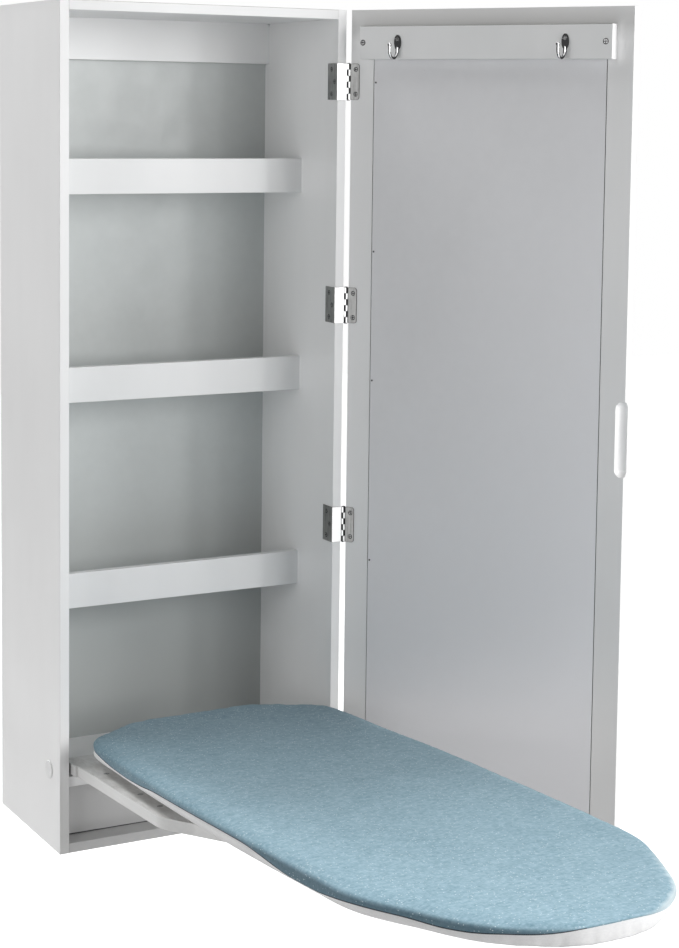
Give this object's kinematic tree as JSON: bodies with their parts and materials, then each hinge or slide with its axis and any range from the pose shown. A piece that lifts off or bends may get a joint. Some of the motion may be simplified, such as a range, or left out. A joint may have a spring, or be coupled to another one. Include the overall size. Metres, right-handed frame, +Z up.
{
  "type": "ironing board cabinet",
  "caption": "Tall shallow white wall cabinet with a mirrored door on side hinges, open shelves inside, and a padded ironing board that folds down from the bottom on two arms.",
  "frame": {"origin": "on the cabinet's back plane, midway between the round holes of the two keyhole hangers", "axes": "+Z up, +X to the right of someone facing the cabinet, the cabinet's front and the lowered board point along -Y, and +Y goes into the wall"},
  "size_m": [0.696, 1.2541, 1.2],
  "materials": {
    "back_sheet": "pale grey-white thin sheet",
    "blue_cover": "dusty light blue cotton",
    "dark_steel": "dark oxide",
    "door_sheet": "pale cool grey thin sheet",
    "felt_pad": "felt",
    "hinge_steel": "plain bright steel",
    "hook_chrome": "bright plating",
    "magnet": "ferrite",
    "mirror": "silvered glass",
    "nylon": "natural nylon",
    "pale_wood": "white washed plank",
    "rubber": "grey rubber",
    "white_core": "painted white edge",
    "white_paint": "satin white paint on wood board",
    "white_plastic": "smooth white",
    "zinc_steel": "zinc plated"
  },
  "bodies": {
    "cabinet": {"apron_panel": "white_paint", "back_panel": "back_sheet", "bottom_panel": "white_paint", "catch_housing": "white_plastic", "catch_magnet": "magnet", "deck_panel": "white_paint", "hanging_rail": "white_paint", "hinge_leaf_cabinet_lower": "hinge_steel", "hinge_leaf_cabinet_middle": "hinge_steel", "hinge_leaf_cabinet_upper": "hinge_steel", "hinge_pins": "hinge_steel", "hinge_screws_cabinet": "dark_steel", "keyhole_hangers": "zinc_steel", "keyhole_screws": "dark_steel", "left_side_panel": "white_paint", "pivot_bolts": "zinc_steel", "pivot_cover_caps": "white_plastic", "pivot_nuts": "zinc_steel", "pivot_spacers": "nylon", "right_side_panel": "white_paint", "shelf_board_lower": "white_paint", "shelf_board_middle": "white_paint", "shelf_board_upper": "white_paint", "shelf_lip_lower": "white_paint", "shelf_lip_middle": "white_paint", "shelf_lip_upper": "white_paint", "stop_pads": "rubber", "stop_rail": "white_paint", "top_panel": "white_paint"},
    "door": {"backing_panel": "door_sheet", "backing_pins": "dark_steel", "batten_screws": "dark_steel", "door_rail_bottom": "white_paint", "door_rail_top": "white_paint", "door_stile_free": "white_paint", "door_stile_hinge": "white_paint", "hinge_leaf_door_lower": "hinge_steel", "hinge_leaf_door_middle": "hinge_steel", "hinge_leaf_door_upper": "hinge_steel", "hinge_screws_door": "dark_steel", "hook_batten": "white_paint", "hook_left": "hook_chrome", "hook_right": "hook_chrome", "hook_screws": "dark_steel", "mirror_glass": "mirror", "strike_plate": "hinge_steel"},
    "board": {"arm_left": "pale_wood", "arm_right": "pale_wood", "board_batten_front": "pale_wood", "board_batten_middle": "pale_wood", "board_batten_rear": "pale_wood", "board_core": "white_core", "board_cover": "blue_cover", "board_pad": "felt_pad", "frame_screws": "dark_steel", "pivot_bracket_left": "zinc_steel", "pivot_bracket_right": "zinc_steel", "pivot_bushings": "nylon"}
  },
  "joints": [
    {"name": "door_swing", "type": "hinge", "parent": "cabinet", "child": "door", "pos_m": [0.2265, -0.2455, -0.555], "axis": [0, 0, 1], "range_deg": [-32.5, 59.5]},
    {"name": "board_fold", "type": "hinge", "parent": "cabinet", "child": "board", "pos_m": [0, -0.202, -1.043], "axis": [-1, 0, 0], "range_deg": [0, 87.6]}
  ]
}
